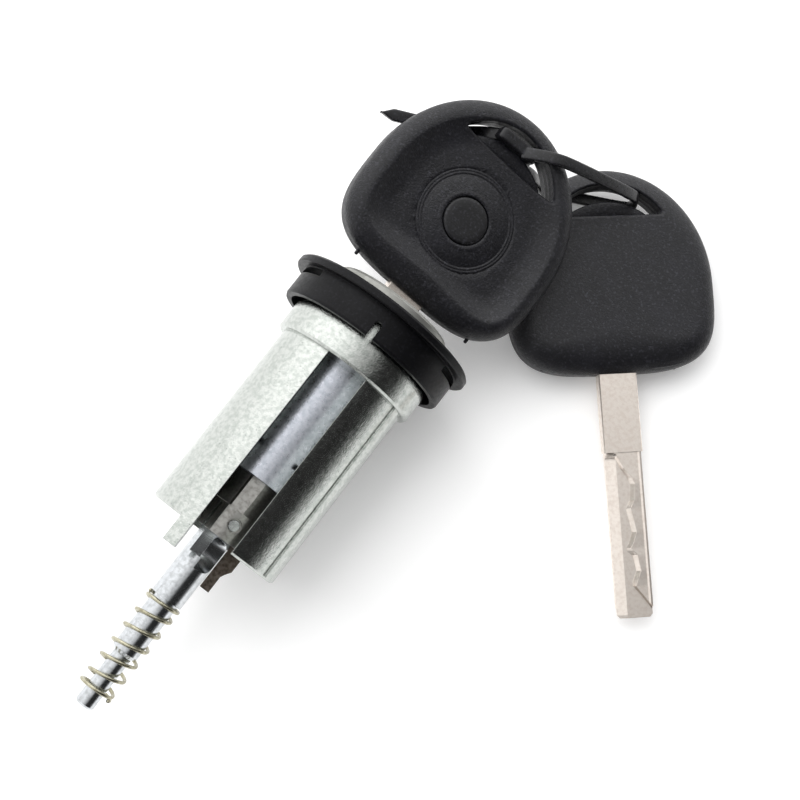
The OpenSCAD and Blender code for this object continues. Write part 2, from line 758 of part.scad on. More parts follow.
// Upright plane through a hole, turned to a direction: drawn with its run along X and its height along Y
module upright(origin, turn, width) {
    translate([origin[0], origin[1], 0]) rotate([0, 0, turn]) rotate([90, 0, 0])
        translate([0, 0, -width / 2]) linear_extrude(width) children();
}

// Turn and length of the way from one point to another
function turn_to(from, to) = atan2(to[1] - from[1], to[0] - from[0]);

// Loop from the head over both rims, down through the spare key's eye and back under them,
// the head along the first key's eye, and the tail that leaves it under that key's bow
module cable_tie() {
    run = norm(spare_hole - tie_hole);
    top = rim_half - 0.4;
    under = floor_z + strap_t / 2 + 0.15;
    over_spare = spare_z + rim_half + strap_t / 2 + tie_slack;
    below = -2 * rim_half;
    tail_z = -rim_half - strap_t / 2 - tie_slack;
    head_bottom = tie_head_top - tie_head_h;
    color("#141416") {
        upright(tie_hole, turn_to(tie_hole, spare_hole), strap_w) strap_section(rounded_path([[-1.8, top - 0.7],
            [1.2, top], [6, top - 0.3], [run - 0.5, over_spare], [run + 0.5, under], [6.4, under],
            [2.6, below - 1.8], [0, below], [0, head_bottom + strap_t]], 0.9));
        with_key() {
            upright(tie_hole, turn_to(tie_hole, tail_hole), tie_head_w)
                translate([-0.75, head_bottom]) square([tie_head_len, tie_head_h]);
            upright(tail_hole, tail_turn, strap_w) strap_section(rounded_path([[0, 1], [0, -rim_half],
                [4.4, tail_z], [tail_len, tail_z]], 0.5));
        }
    }
}

housing();
cap_ring();
catch_lever();
lever_pin();
plug();
face_cap();
retaining_wafer();
retaining_spring();
for (i = [1 : wafer_count]) {
    wafer(i);
    wafer_spring(i);
}
driver();
cross_pin();
spindle();
spindle_spring();
key_bow();
key_badge();
key_blade();
key_chip();
key_chip_cap();
spare_bow();
spare_badge();
spare_blade();
spare_chip();
spare_chip_cap();
cable_tie();
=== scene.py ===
"""Looks of an ignition lock with its key and a tied spare key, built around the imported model.

Sizes in the classes are millimetres. Meshes are in metres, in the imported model's own frame.
"""
import logging
import math
from dataclasses import dataclass
from enum import Enum
from functools import cache
from typing import Any, Callable, Sequence

import bpy
import numpy as np
from mathutils import Matrix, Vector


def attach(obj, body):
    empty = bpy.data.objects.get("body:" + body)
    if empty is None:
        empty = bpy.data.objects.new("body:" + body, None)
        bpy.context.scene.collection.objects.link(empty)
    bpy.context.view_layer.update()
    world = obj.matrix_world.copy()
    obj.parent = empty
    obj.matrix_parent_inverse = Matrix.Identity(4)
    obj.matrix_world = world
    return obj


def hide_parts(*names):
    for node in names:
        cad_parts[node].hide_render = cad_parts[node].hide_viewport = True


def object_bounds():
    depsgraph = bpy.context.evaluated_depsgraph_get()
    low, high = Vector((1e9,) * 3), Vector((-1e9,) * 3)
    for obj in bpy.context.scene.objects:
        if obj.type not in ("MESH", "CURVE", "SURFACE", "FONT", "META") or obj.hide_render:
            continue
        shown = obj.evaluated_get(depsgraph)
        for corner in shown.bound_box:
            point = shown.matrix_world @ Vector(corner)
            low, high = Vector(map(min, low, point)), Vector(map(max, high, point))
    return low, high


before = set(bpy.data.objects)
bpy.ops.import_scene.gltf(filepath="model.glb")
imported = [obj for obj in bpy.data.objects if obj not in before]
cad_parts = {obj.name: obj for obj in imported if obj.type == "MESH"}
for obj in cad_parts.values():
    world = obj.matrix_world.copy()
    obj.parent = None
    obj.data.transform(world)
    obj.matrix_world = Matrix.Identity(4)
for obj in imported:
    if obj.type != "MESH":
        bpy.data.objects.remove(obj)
CAD_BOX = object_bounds()

MM = 0.001
LOG = logging.getLogger("lock")
WHITE = "#ffffff"
FULL_TURN = 2 * math.pi
# Radius in millimetres, or share of a section, at which a shape closes on its axis.
POLE = 0.01
# Share of its size that the last ring of a wire or strap keeps, so that its end closes.
END_SHARE = 0.02
# Noise levels between which a pattern shows most of its spread.
EVEN = (0.3, 0.7)
# Usual strength of a bump layer.
BUMP = 0.5
# Crease angle in degrees that leaves no edge sharp.
NO_CREASE = 180.0
# Places of a mix node's share and two colours among its inputs, and of its colour among its outputs.
MIX_SHARE, MIX_FIRST, MIX_SECOND, MIX_COLOUR = 0, 6, 7, 2
# Rays that look for a softened edge at each point.
EDGE_SAMPLES = 6
# Halvings that bring a search along a ray down to rounding error.
HALVINGS = 44

Material = bpy.types.Material
Tree = bpy.types.NodeTree
Socket = bpy.types.NodeSocket
Inputs = dict[str | int, Any]
Array = np.ndarray
# Points in millimetres, and corner numbers of the quads.
Shell = tuple[Array, Array]
Pair = tuple[float, float]
Triple = tuple[float, float, float]
Profile = tuple[Pair, ...]


class Body(Enum):
    """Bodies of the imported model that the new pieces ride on."""

    ROTOR = "rotor"
    KEY = "key"


def linear(colour: str) -> tuple[float, float, float, float]:
    """Turn an sRGB hex colour into linear light.

    Args:
        colour: six hex digits after a hash sign.

    Returns:
        Red, green, blue and an alpha of one.
    """
    parts = [int(colour[i:i + 2], 16) / 255 for i in (1, 3, 5)]
    light = [c / 12.92 if c <= 0.04045 else ((c + 0.055) / 1.055) ** 2.4 for c in parts]
    return light[0], light[1], light[2], 1.0


def per_metre(size_mm: float) -> float:
    """Scale of a pattern whose features are this many millimetres wide."""
    return 1 / (size_mm * MM)


def add_node(tree: Tree, kind: str, inputs: Inputs | None = None, **settings: Any) -> bpy.types.Node:
    """Add a node, set its properties, and set or link its inputs.

    Args:
        tree: node tree that gets the node.
        kind: Blender's type name of the node, without ShaderNode in front.
        inputs: input names or places, with a value or an output socket to link.
        **settings: properties of the node.

    Returns:
        The new node.
    """
    node = tree.nodes.new(f"ShaderNode{kind}")
    for name, value in settings.items():
        setattr(node, name, value)
    for name, value in (inputs or {}).items():
        if isinstance(value, Socket):
            tree.links.new(value, node.inputs[name])
        else:
            node.inputs[name].default_value = value
    return node


def new_material(name: str) -> tuple[Material, Tree]:
    """Make an empty node material.

    Args:
        name: name of the material.

    Returns:
        The material and its node tree.
    """
    material = bpy.data.materials.new(name)
    material.use_nodes = True
    material.node_tree.nodes.clear()
    return material, material.node_tree


def speckle(tree: Tree, size_mm: float, levels: Sequence[float] = EVEN, detail: float = 3.0,
            stretch: Sequence[float] = (1, 1, 1), out: Sequence[float] = (0, 1)) -> Socket:
    """Noise of a real feature size, spread from a low level to a high one.

    Args:
        tree: node tree that gets the nodes.
        size_mm: width of a patch.
        levels: noise levels that give the first and the second output value.
        detail: finer layers of noise.
        stretch: factors on X, Y and Z, small along the lines of a drawn-out pattern.
        out: the two output values.

    Returns:
        Socket of the spread noise.
    """
    place = add_node(tree, "TexCoord")
    drawn = add_node(tree, "Mapping", {"Vector": place.outputs["Object"], "Scale": stretch})
    noise = add_node(tree, "TexNoise",
                     {"Vector": drawn.outputs[0], "Scale": per_metre(size_mm), "Detail": detail})
    spread = add_node(tree, "MapRange", {
        "Value": noise.outputs["Fac"], "From Min": levels[0], "From Max": levels[1],
        "To Min": out[0], "To Max": out[1]}, interpolation_type="SMOOTHSTEP")
    return spread.outputs[0]


def patches(tree: Tree, first: str | Socket, second: str | Socket, size_mm: float, levels: Pair,
            detail: float = 3.0) -> Socket:
    """Two colours in patches of a real size.

    Args:
        tree: node tree that gets the nodes.
        first: hex colour or colour socket where the noise is low.
        second: hex colour or colour socket where it is high.
        size_mm: width of a patch.
        levels: noise levels that are wholly the first and the second colour.
        detail: finer layers of noise.

    Returns:
        Socket of the colour.
    """
    share = speckle(tree, size_mm, levels, detail)
    pair = [linear(c) if isinstance(c, str) else c for c in (first, second)]
    mix = add_node(tree, "Mix", {MIX_SHARE: share, MIX_FIRST: pair[0], MIX_SECOND: pair[1]}, data_type="RGBA")
    return mix.outputs[MIX_COLOUR]


def relief(tree: Tree, edge_mm: float, layers: Sequence[tuple[Socket, float, float]]) -> Socket:
    """Soften the edges and stack bump layers into one normal.

    Args:
        tree: node tree that gets the nodes.
        edge_mm: radius of the softened edges.
        layers: height socket, strength and depth in millimetres of each layer.

    Returns:
        Socket of the bent normal.
    """
    normal = add_node(tree, "Bevel", {"Radius": edge_mm * MM}, samples=EDGE_SAMPLES).outputs[0]
    for height, strength, depth_mm in layers:
        normal = add_node(tree, "Bump", {
            "Height": height, "Strength": strength, "Distance": depth_mm * MM, "Normal": normal}).outputs[0]
    return normal


def close(tree: Tree, inputs: Inputs) -> None:
    """Finish a material with one principled shader and its output."""
    shader = add_node(tree, "BsdfPrincipled", inputs)
    add_node(tree, "OutputMaterial", {"Surface": shader.outputs[0]})


@dataclass(frozen=True)
class CastMetal:
    """Die-cast zinc: bright metal with an orange peel that breaks up its reflections, and a few dark pits."""

    name: str
    bright: str
    dull: str
    stain: str
    rough: Pair
    mottle_mm: float = 0.8
    mottle_levels: Pair = (0.36, 0.68)
    gloss_mm: float = 0.64
    pit_mm: float = 0.42
    pit_levels: Pair = (0.24, 0.36)
    wave_mm: float = 3.2
    wave_levels: Pair = (0.4, 0.66)
    wave_depth_mm: float = 0.03
    peel_mm: float = 0.3
    peel_depth_mm: float = 0.016
    peel_strength: float = 0.6
    edge_mm: float = 0.16

    def build(self) -> Material:
        """Make the material.

        Returns:
            The new material.
        """
        material, tree = new_material(self.name)
        wave = speckle(tree, self.wave_mm, self.wave_levels)
        peel = speckle(tree, self.peel_mm)
        colour = patches(tree, self.bright, self.dull, self.mottle_mm, self.mottle_levels, detail=5)
        close(tree, {
            "Base Color": patches(tree, self.stain, colour, self.pit_mm, self.pit_levels),
            "Metallic": 1.0,
            "Roughness": speckle(tree, self.gloss_mm, detail=5, out=self.rough),
            "Normal": relief(tree, self.edge_mm, [(wave, BUMP, self.wave_depth_mm),
                                                  (peel, self.peel_strength, self.peel_depth_mm)]),
        })
        return material


@dataclass(frozen=True)
class DrawnMetal:
    """Turned, drawn, stamped or milled metal: fine lines or grit and a little tarnish."""

    name: str
    bright: str
    dull: str
    rough: Pair
    line_mm: float = 0.12
    stretch: Triple = (1, 0.05, 1)
    line_depth_mm: float = 0.006
    tarnish_mm: float = 0.7
    tarnish_levels: Pair = (0.36, 0.72)
    edge_mm: float = 0.1

    def build(self) -> Material:
        """Make the material.

        Returns:
            The new material.
        """
        material, tree = new_material(self.name)
        lines = speckle(tree, self.line_mm, stretch=self.stretch)
        colour = patches(tree, self.bright, self.dull, self.tarnish_mm, self.tarnish_levels, detail=5)
        close(tree, {
            "Base Color": colour,
            "Metallic": 1.0,
            "Roughness": speckle(tree, self.tarnish_mm, detail=4, out=self.rough),
            "Normal": relief(tree, self.edge_mm, [(lines, BUMP, self.line_depth_mm)]),
        })
        return material


@dataclass(frozen=True)
class MouldedPlastic:
    """Black moulded plastic: spark-eroded grain that greys the highlights, dust, and faint rubbed patches."""

    name: str
    colour: str
    rubbed: str
    rough: Pair
    grain_mm: float = 0.22
    grain_depth_mm: float = 0.03
    gloss_ratio: float = 3.0
    rub_mm: float = 6.0
    rub_levels: Pair = (0.42, 0.75)
    dust: str = "#2e2e34"
    dust_mm: float = 0.45
    dust_levels: Pair = (0.5, 0.78)
    specular: float = 0.5
    edge_mm: float = 0.12

    def build(self) -> Material:
        """Make the material.

        Returns:
            The new material.
        """
        material, tree = new_material(self.name)
        grain = speckle(tree, self.grain_mm, detail=2)
        colour = patches(tree, self.colour, self.rubbed, self.rub_mm, self.rub_levels, detail=4)
        close(tree, {
            "Base Color": patches(tree, colour, self.dust, self.dust_mm, self.dust_levels),
            "Specular IOR Level": self.specular,
            "Roughness": speckle(tree, self.grain_mm * self.gloss_ratio, out=self.rough),
            "Normal": relief(tree, self.edge_mm, [(grain, BUMP, self.grain_depth_mm)]),
        })
        return material


ALL_WAYS = (1, 1, 1)
AROUND_AXIS = (1, 12, 1)


class Finish(Enum):
    """Finishes of the pieces."""

    # Zinc alloy as cast: bright, with a peel.
    HOUSING = CastMetal("bright_cast_zinc", "#c3c6c2", "#aeb3ae", "#868b87", (0.18, 0.25))
    # Zinc alloy that turns in its bore: bluer and smoother.
    PLUG = CastMetal("smooth_cast_zinc", "#c8cbd3", "#b5bac2", "#9499a0", (0.26, 0.36),
                     peel_depth_mm=0.008, wave_depth_mm=0.02)
    # Stamped steel sheet: flat grey, with broad highlights.
    FACE = DrawnMetal("satin_stamped_steel", "#a8a8a4", "#9c9c97", (0.5, 0.6),
                      stretch=ALL_WAYS, tarnish_mm=2.5)
    # Oiled steel: warm grey.
    DRIVER = DrawnMetal("oiled_driver_steel", "#aaa9a5", "#8d8b87", (0.3, 0.44))
    # Browned sintered steel: dull, with coarse grit.
    LEVER = DrawnMetal("brown_sintered_steel", "#726960", "#554c45", (0.4, 0.55),
                       stretch=ALL_WAYS, line_mm=0.3)
    # Turned steel: fine rings, sharp reflections.
    STEEL = DrawnMetal("turned_steel", "#d0d3d6", "#b9bcbe", (0.14, 0.24), stretch=AROUND_AXIS, line_mm=1.2)
    # Ground steel: bright.
    PIN = DrawnMetal("ground_steel", "#c2c4c4", "#a4a6a6", (0.2, 0.3))
    # Drawn and plated wire: yellowish.
    WIRE = DrawnMetal("nickelled_spring_wire", "#b9b5a0", "#95907a", (0.2, 0.32))
    # Stamped brass: warm and dull.
    BRASS = DrawnMetal("stamped_brass", "#c3a55c", "#96793c", (0.3, 0.45), stretch=ALL_WAYS)
    # Milled nickel silver: pale and warm, with a fine grit.
    BLADE = DrawnMetal("milled_nickel_silver", "#efe6dd", "#e3d8ce", (0.28, 0.38),
                       stretch=ALL_WAYS, line_mm=0.22, line_depth_mm=0.012)
    # Moulded plastic with hardly any grain: satin black.
    CAP = MouldedPlastic("satin_cap_plastic", "#0b0b0d", "#111113", (0.34, 0.46),
                         grain_depth_mm=0.008, dust="#1a1a1e", specular=0.14)
    # Plastic from a spark-eroded tool: its grain is drawn coarser than the real one, to show.
    BOW = MouldedPlastic("grained_bow_plastic", "#0b0b10", "#111117", (0.4, 0.52),
                         grain_mm=0.28, grain_depth_mm=0.08, specular=0.44)
    # The same plastic from a smoother tool.
    BADGE = MouldedPlastic("fine_badge_plastic", "#0b0b0d", "#101013", (0.38, 0.5), grain_depth_mm=0.012)
    # Cast resin: dull dark grey.
    CHIP = MouldedPlastic("cast_chip_resin", "#2c2c2e", "#363638", (0.5, 0.6))
    # Nylon: smooth, with a low shine.
    NYLON = MouldedPlastic("moulded_nylon", "#0f0f11", "#19191c", (0.26, 0.36), grain_depth_mm=0.006)


@cache
def material_of(finish: Finish) -> Material:
    """Material of a finish, built on the first call."""
    return finish.value.build()


def dress(piece: bpy.types.Object, finish: Finish) -> None:
    """Give a piece one finish on all its faces."""
    piece.data.materials.clear()
    piece.data.materials.append(material_of(finish))


def new_piece(name: str, shells: Sequence[Shell], body: Body, finish: Finish,
              stands_for: Sequence[str], crease: float = NO_CREASE) -> None:
    """Put shells of points and quads into one mesh object and tie it to the model.

    Args:
        name: name of the piece.
        shells: points in millimetres, and corner numbers of each shell's quads.
        body: body that carries the piece.
        finish: finish of the piece.
        stands_for: nodes that the piece replaces.
        crease: angle in degrees from which an edge stays sharp.
    """
    offsets = np.cumsum([0] + [len(points) for points, _ in shells])
    points = np.concatenate([points for points, _ in shells]) * MM
    quads = np.concatenate([faces + start for (_, faces), start in zip(shells, offsets)])
    mesh = bpy.data.meshes.new(name)
    mesh.vertices.add(len(points))
    mesh.vertices.foreach_set("co", points.astype(np.float32).ravel())
    mesh.loops.add(quads.size)
    mesh.loops.foreach_set("vertex_index", quads.astype(np.int32).ravel())
    mesh.polygons.add(len(quads))
    mesh.polygons.foreach_set("loop_start", np.arange(0, quads.size, quads.shape[1], dtype=np.int32))
    mesh.update(calc_edges=True)
    mesh.validate()
    mesh.shade_smooth()
    mesh.set_sharp_from_angle(angle=math.radians(crease))
    piece = bpy.data.objects.new(name, mesh)
    bpy.context.scene.collection.objects.link(piece)
    dress(piece, finish)
    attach(piece, body.value)
    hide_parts(*stands_for)
    LOG.info("%s: %d faces", name, len(quads))


def grid_faces(rows: int, columns: int, wrap_rows: bool, wrap_columns: bool) -> Array:
    """Corner numbers of the quads of a grid, with its edges joined where asked.

    Args:
        rows: rows of points.
        columns: points in a row.
        wrap_rows: joins the last row to the first.
        wrap_columns: joins the last point of a row to the first.

    Returns:
        Array of four corner numbers for each quad.
    """
    i, j = np.meshgrid(np.arange(rows if wrap_rows else rows - 1),
                       np.arange(columns if wrap_columns else columns - 1), indexing="ij")
    i, j = i.ravel(), j.ravel()
    k, m = (i + 1) % rows, (j + 1) % columns
    return np.stack([i * columns + j, i * columns + m, k * columns + m, k * columns + j], axis=1)


def placed(points: Array, place: Array) -> Array:
    """Carry points by a four by four matrix."""
    return points @ place[:3, :3].T + place[:3, 3]


def turn_matrix(axis: str, degrees: float, shift: Sequence[float] = (0, 0, 0)) -> Array:
    """Matrix of a turn about an axis and then a shift.

    Args:
        axis: X, Y or Z.
        degrees: angle of the turn.
        shift: move after the turn.

    Returns:
        Four by four matrix.
    """
    matrix = np.array(Matrix.Rotation(math.radians(degrees), 4, axis))
    matrix[:3, 3] = shift
    return matrix


def smooth(share: Array) -> Array:
    """Ease from nought to one with level ends."""
    held = np.clip(share, 0, 1)
    return held * held * (3 - 2 * held)


def quarter(share: Array) -> Array:
    """Rise of a quarter circle from nought, upright at first, to one, level at last."""
    return np.sqrt(1 - (1 - np.clip(share, 0, 1)) ** 2)


def pushed(wave: Array, power: float) -> Array:
    """Push a wave towards its two ends: a power of its size, with its sign kept."""
    return np.sign(wave) * np.abs(wave) ** power


def outward(points: Array, faces: Array) -> Shell:
    """Turn the quads of a closed shell outwards, by the sign of its volume.

    Args:
        points: points of the shell.
        faces: corner numbers of its quads.

    Returns:
        The same points, and the quads facing outwards.
    """
    a, b, c, d = (points[faces[:, k]] for k in range(4))
    volume = np.einsum("ij,ij->", a, np.cross(b, c)) + np.einsum("ij,ij->", a, np.cross(c, d))
    return points, faces if volume > 0 else faces[:, ::-1]


def lathe(profile: Sequence[Pair], sides: int) -> Shell:
    """Turn a closed profile about Z: the radius and height of each point go once round the axis.

    Args:
        profile: radius and height of the profile's points, in order.
        sides: points around the axis.

    Returns:
        Points and quads.
    """
    radius, height = np.array(profile).T
    angle = np.linspace(0, FULL_TURN, sides, endpoint=False)
    grid = np.stack([np.outer(radius, np.cos(angle)), np.outer(radius, np.sin(angle)),
                     np.outer(height, np.ones(sides))], axis=2)
    return outward(grid.reshape(-1, 3), grid_faces(len(radius), sides, True, True))


@dataclass(frozen=True)
class BowShape:
    """Moulded bow in its key's own axes, with the blade towards +Y and the dished face towards +Z."""

    front: float = -7.3
    width: float = 40.2
    length: float = 39.4
    widest: float = 17.0
    square: float = 3.7
    thick: float = 9.0
    taper: float = 0.3
    dish: float = 1.8
    dish_wall: float = 5.4
    dish_ease: float = 0.07
    rim: float = 3.2
    blade_rim: float = 1.3
    back_roll: float = 4.6
    blade_roll: float = 3.6
    # The blade end starts at this cosine from the blade's direction, and is full this much higher.
    blade_from: float = 0.55
    blade_over: float = 0.35
    # Heights as shares of the thickness: ends of the two rolls, and two rings on the side between them.
    side_low: float = -0.08
    side_high: float = 0.14
    side_rings: Pair = (0.067, -0.007)
    eye_depth: float = 6.1
    eye_half: float = 10.8
    eye_corner: float = 0.8
    eye_edge: float = 0.6
    eye_centre: float = 0.42
    # Ribs on the eye's wall: how far proud, then half their width and their places as shares of its height.
    rib: float = 0.16
    rib_half: float = 0.1
    ribs: Pair = (0.36, 0.66)
    tongue_half: float = 8.6
    tongue_share: float = 0.38
    tongue_top: float = 1.2
    tongue_low: float = -1.8
    tongue_root: float = 1.5
    ledge: float = 0.7
    nose: float = 0.4
    badge_place: float = 16.9
    badge_r: float = 4.2
    badge_top: float = 0.28
    badge_low: float = -0.7
    # Rings round the badge: distance from its edge, and height over the dish.
    rings: Profile = (
        (0.2, -0.6), (0.2, 0.0), (0.3, 0.1), (0.55, 0.17), (0.9, 0.15), (1.15, 0.06), (1.35, 0.0),
        (3.95, 0.0), (4.02, -0.06), (4.12, -0.06), (4.2, 0.02),
        (4.5, 0.03), (4.56, -0.05), (4.66, -0.05), (4.74, 0.01))
    rosette_r: float = 9.3
    # Under the rings the bow is sunk by this much, from a little outside them, over a short slope.
    sink: float = 0.5
    sink_past: float = 0.15
    sink_slope: float = 0.35
    nubs: Pair = (-14.2, 11.4)
    nub_r: float = 0.35
    # Rays around the eye, and how far they crowd towards its two ends.
    around: int = 400
    crowd: float = 0.2
    # Distances inside the outline where the grid has points: fine at the edge, then even.
    edge_steps: tuple[float, ...] = (0, 0.02, 0.07, 0.16, 0.3, 0.5, 0.8, 1.2, 1.7, 2.3, 2.8)
    even_steps: Triple = (3.1, 9.4, 0.3)

    @property
    def middle(self) -> float:
        """Place of the widest part along Y."""
        return self.front - self.widest

    @property
    def eye_line(self) -> float:
        """Place of the eye's straight edge along Y."""
        return self.front - self.length + self.rim + self.eye_depth

    @property
    def badge_y(self) -> float:
        """Place of the badge's middle along Y."""
        return self.front - self.badge_place

    @property
    def tongue_rise(self) -> float:
        """Reach of the ledge into the eye."""
        return self.eye_depth * self.tongue_share

    @staticmethod
    def arc_radius(half: float, rise: float) -> float:
        """Radius of an arc from half its chord and its rise."""
        return (half * half + rise * rise) / (2 * rise)

    def eye_arc(self, x: float) -> float:
        """Place along Y of the eye's curved edge."""
        r = self.arc_radius(self.eye_half, self.eye_depth)
        return self.eye_line - self.eye_depth + r - math.sqrt(r * r - x * x)

    def tongue_arc(self, x: Array) -> Array:
        """Place along Y of the ledge's curved edge."""
        r = self.arc_radius(self.tongue_half, self.tongue_rise)
        return self.eye_line - self.tongue_rise + r - np.sqrt(r * r - x * x)

    def eye_middle(self, x: float) -> float:
        """Place along Y halfway between the ledge and the eye's curved edge."""
        return (self.eye_arc(x) + float(self.tongue_arc(np.array(x)))) / 2

    def thin(self, y: Array) -> Array:
        """Share of the full thickness, falling evenly towards the eye."""
        return 1 - self.taper * (self.front - y) / self.length

    def blade_side(self, x: Array, y: Array) -> Array:
        """One towards the blade end, easing to nought at the sides."""
        up = y - self.middle
        return smooth((up / np.maximum(np.hypot(x, up), 1e-6) - self.blade_from) / self.blade_over)

    def inset(self, x: Array, y: Array) -> Array:
        """Distance inside the outline along the ray from the bow's middle.

        The outline is half an ellipse on the eye's side and half a superellipse on the blade's.

        Args:
            x: places across the bow.
            y: places along it.

        Returns:
            The distances, below nought outside.
        """
        up = y - self.middle
        power = np.where(up < 0, 2.0, self.square)
        half = np.where(up < 0, self.length - self.widest, self.widest)
        level = (np.abs(x) / (self.width / 2)) ** power + (np.abs(up) / half) ** power
        return np.hypot(x, up) * (np.maximum(level, 1e-9) ** (-1 / power) - 1)

    def eye_gap(self, x: Array, y: Array) -> Array:
        """Distance from the eye's edge: an arc cut by a line, with rounded corners.

        Args:
            x: places across the bow.
            y: places along it.

        Returns:
            The distances, below nought inside the eye.
        """
        r = self.arc_radius(self.eye_half, self.eye_depth)
        arc = np.hypot(x, y - (self.eye_line - self.eye_depth + r)) - r + self.eye_corner
        line = y - self.eye_line + self.eye_corner
        both = np.hypot(np.maximum(arc, 0), np.maximum(line, 0))
        return both + np.minimum(np.maximum(arc, line), 0) - self.eye_corner

    def edge_drop(self, x: Array, y: Array) -> Array:
        """Drop of the rounded edge around the eye."""
        return self.eye_edge * (1 - quarter(self.eye_gap(x, y) / self.eye_edge))

    def front_height(self, x: Array, y: Array) -> Array:
        """Height of the dished face: a quarter-round rim, a crest, then a wall that eases into the dish.

        Args:
            x: places across the bow.
            y: places along it.

        Returns:
            The heights.
        """
        inset = self.inset(x, y)
        crest = self.rim + self.blade_rim * self.blade_side(x, y)
        rise = self.side_high + (0.5 - self.side_high) * quarter(inset / crest)
        wall = np.clip((inset - crest) / self.dish_wall, 0, 1)
        eased = (1 + self.dish_ease) * wall * wall / (wall + self.dish_ease)
        height = self.thick * rise - self.dish * (1 - (1 - np.clip(eased, 0, 1)) ** 2)
        from_badge = np.hypot(x, y - self.badge_y)
        sunk = self.sink * smooth((self.rosette_r + self.sink_past - from_badge) / self.sink_slope)
        return height * self.thin(y) - sunk - self.edge_drop(x, y)

    def back_height(self, x: Array, y: Array) -> Array:
        """Height of the plain back: a quarter-round edge that runs longer at the blade end.

        Args:
            x: places across the bow.
            y: places along it.

        Returns:
            The heights.
        """
        roll = self.back_roll + self.blade_roll * self.blade_side(x, y)
        fall = self.side_low - (0.5 + self.side_low) * quarter(self.inset(x, y) / roll)
        return self.thick * fall * self.thin(y) + self.edge_drop(x, y)

    @staticmethod
    def along(low: Array, high: Array, level: Array, measure: Callable[[Array], Array]) -> Array:
        """Find by halving where a measure that falls outwards along each ray crosses a level.

        Args:
            low: distance on each ray where the measure is above the level.
            high: distance on each ray where it is below.
            level: level to find.
            measure: gives the measure at a distance on each ray.

        Returns:
            Distance of the crossing on each ray.
        """
        for _ in range(HALVINGS):
            mid = (low + high) / 2
            inside = measure(mid) > level
            low, high = np.where(inside, mid, low), np.where(inside, high, mid)
        return (low + high) / 2

    def shell(self) -> Shell:
        """Work out the bow around its eye.

        Rays leave the eye's middle, closer together towards its two ends. Along each ray the section goes up
        the eye's wall, over the front to the outline, down the side and back under to the eye, so the grid
        closes both ways.

        Returns:
            Points and quads.
        """
        angle = np.linspace(0, FULL_TURN, self.around, endpoint=False)
        angle = angle - self.crowd * np.sin(2 * angle)
        ux, uy = np.cos(angle), np.sin(angle)
        y0 = self.eye_line - self.eye_depth * self.eye_centre

        def spot(rho: Array) -> tuple[Array, Array]:
            """Point on each ray."""
            return rho * ux, y0 + rho * uy

        def inside(rho: Array) -> Array:
            """Distance inside the outline on each ray."""
            return self.inset(*spot(rho))

        none = np.zeros(self.around)
        far = none + self.length * 1.2
        edge = self.along(none, far, none, lambda rho: -self.eye_gap(*spot(rho)))
        # The search for the outline starts past the bow's middle, from where the inset only falls.
        foot = np.maximum(edge, (self.middle - y0) * uy + 0.5)
        rim = self.along(foot, far, none, inside)
        steps = np.concatenate([self.edge_steps, np.arange(*self.even_steps)])
        # On short rays the steps shrink to three quarters of the room.
        share = np.minimum(1, 0.75 * inside(foot) / steps[-1])
        outer = np.stack([self.along(foot, far, step * share, inside) for step in steps])
        # Shares of the way from the eye to those steps: fine at the eye's edge, then even.
        inner = np.concatenate([1 - np.cos(np.linspace(0, 0.5, 9)), np.linspace(0.17, 1, 20)[:-1]])
        front_rho = np.concatenate([edge + inner[:, None] * (outer[-1] - edge), outer[::-1]])
        fx, fy = spot(front_rho)
        bx, by = spot(front_rho[::-1])
        top = self.front_height(fx, fy)
        low = self.back_height(bx, by)
        wall = np.linspace(0, 1, 15)[1:-1, None]
        ridge = self.rib * sum(smooth(1 - np.abs(wall - place) / self.rib_half) for place in self.ribs)
        wx, wy = spot(edge - ridge)
        sx, sy = spot(np.broadcast_to(rim, (2, self.around)))
        side = self.thick * self.thin(sy) * np.array(self.side_rings)[:, None]
        x = np.concatenate([wx, fx, sx, bx])
        y = np.concatenate([wy, fy, sy, by])
        z = np.concatenate([low[-1] + wall * (top[0] - low[-1]), top, side, low])
        points = np.stack([x, y, z], axis=2)
        return outward(points.reshape(-1, 3), grid_faces(len(x), self.around, True, True))

    def tongue(self) -> Shell:
        """Work out the ledge: a flat plate with a rounded nose along an arc, thinned at its two ends.

        Returns:
            Points and quads.
        """
        x = np.linspace(-self.tongue_half, self.tongue_half, 81)
        tip = self.tongue_arc(x) - self.ledge * (1 - (x / self.tongue_half) ** 2)
        bend = np.linspace(0, math.pi, 13)
        mid, half = (self.tongue_top + self.tongue_low) / 2, (self.tongue_top - self.tongue_low) / 2
        root = np.full_like(x, self.eye_line + self.tongue_root)
        y = np.concatenate([[root], tip + self.nose * (1 - np.sin(bend))[:, None], [root]])
        z = np.concatenate([[self.tongue_top], mid + half * pushed(np.cos(bend), 0.4), [self.tongue_low]])
        z = np.outer(z - mid, np.sqrt(1 - (x / self.tongue_half) ** 8)) + mid
        points = np.stack([np.broadcast_to(x, y.shape), y, z], axis=2)
        return outward(points.reshape(-1, 3), grid_faces(len(y), len(x), True, False))

    def on_dish(self, shell: Shell) -> Shell:
        """Set a shell that lies around the badge's middle onto the sloping floor of the dish.

        Args:
            shell: points and quads.

        Returns:
            The moved points and the same quads.
        """
        points, faces = shell
        y = points[:, 1] + self.badge_y
        floor = (self.thick / 2 - self.dish) * self.thin(y)
        return np.stack([points[:, 0], y, points[:, 2] + floor], axis=1), faces

    def rosette(self) -> Shell:
        """Turned rings round the badge: a bead, a level field and two fine lines."""
        profile = [(self.badge_r + out, height) for out, height in self.rings]
        return self.on_dish(lathe(profile + [(self.rosette_r, -0.012), (self.rosette_r + 0.1, -0.6)], 180))

